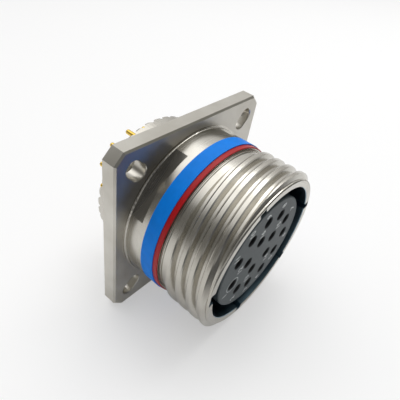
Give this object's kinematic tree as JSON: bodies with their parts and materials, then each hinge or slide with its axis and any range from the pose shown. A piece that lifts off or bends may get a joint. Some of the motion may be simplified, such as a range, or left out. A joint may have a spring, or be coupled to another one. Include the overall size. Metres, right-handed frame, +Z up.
{
  "type": "circular connector receptacle",
  "caption": "Square-flange panel receptacle with a coarse coupling thread, a keyed mating cavity, socket contacts in a grey insert, and board tails behind a toothed rear barrel.",
  "frame": {"origin": "on the connector's axis, in the rear face of the flange, which is the mounting face", "axes": "-Y points out of the mating end, +Y along the contact tails, +Z up with two flange edges level, and the master keyway on the -X side"},
  "size_m": [0.0398, 0.0388, 0.0398],
  "materials": {
    "plated_metal": "electroless nickel plate, satin, with fine turning marks",
    "blue_enamel": "gloss enamel",
    "red_enamel": "gloss enamel",
    "hard_insert": "hard grey dielectric moulding, matt",
    "grommet_rubber": "silicone rubber, matt",
    "gold_contact": "gold plate on copper alloy",
    "steel_hood": "passivated stainless steel",
    "clip_metal": "plain beryllium copper spring"
  },
  "bodies": {
    "root": {"shell": "plated_metal", "blue_band": "blue_enamel", "red_band": "red_enamel", "front_insert": "hard_insert", "retention_insert": "hard_insert", "rear_grommet": "grommet_rubber", "socket_contact_01": "gold_contact", "socket_contact_02": "gold_contact", "socket_contact_03": "gold_contact", "socket_contact_04": "gold_contact", "socket_contact_05": "gold_contact", "socket_contact_06": "gold_contact", "socket_contact_07": "gold_contact", "socket_contact_08": "gold_contact", "socket_contact_09": "gold_contact", "socket_contact_10": "gold_contact", "socket_contact_11": "gold_contact", "socket_contact_12": "gold_contact", "socket_contact_13": "gold_contact", "socket_contact_14": "gold_contact", "socket_contact_15": "gold_contact", "socket_contact_16": "gold_contact", "contact_hood_01": "steel_hood", "contact_hood_02": "steel_hood", "contact_hood_03": "steel_hood", "contact_hood_04": "steel_hood", "contact_hood_05": "steel_hood", "contact_hood_06": "steel_hood", "contact_hood_07": "steel_hood", "contact_hood_08": "steel_hood", "contact_hood_09": "steel_hood", "contact_hood_10": "steel_hood", "contact_hood_11": "steel_hood", "contact_hood_12": "steel_hood", "contact_hood_13": "steel_hood", "contact_hood_14": "steel_hood", "contact_hood_15": "steel_hood", "contact_hood_16": "steel_hood", "retention_clip_01": "clip_metal", "retention_clip_02": "clip_metal", "retention_clip_03": "clip_metal", "retention_clip_04": "clip_metal", "retention_clip_05": "clip_metal", "retention_clip_06": "clip_metal", "retention_clip_07": "clip_metal", "retention_clip_08": "clip_metal", "retention_clip_09": "clip_metal", "retention_clip_10": "clip_metal", "retention_clip_11": "clip_metal", "retention_clip_12": "clip_metal", "retention_clip_13": "clip_metal", "retention_clip_14": "clip_metal", "retention_clip_15": "clip_metal", "retention_clip_16": "clip_metal"}
  },
  "joints": []
}
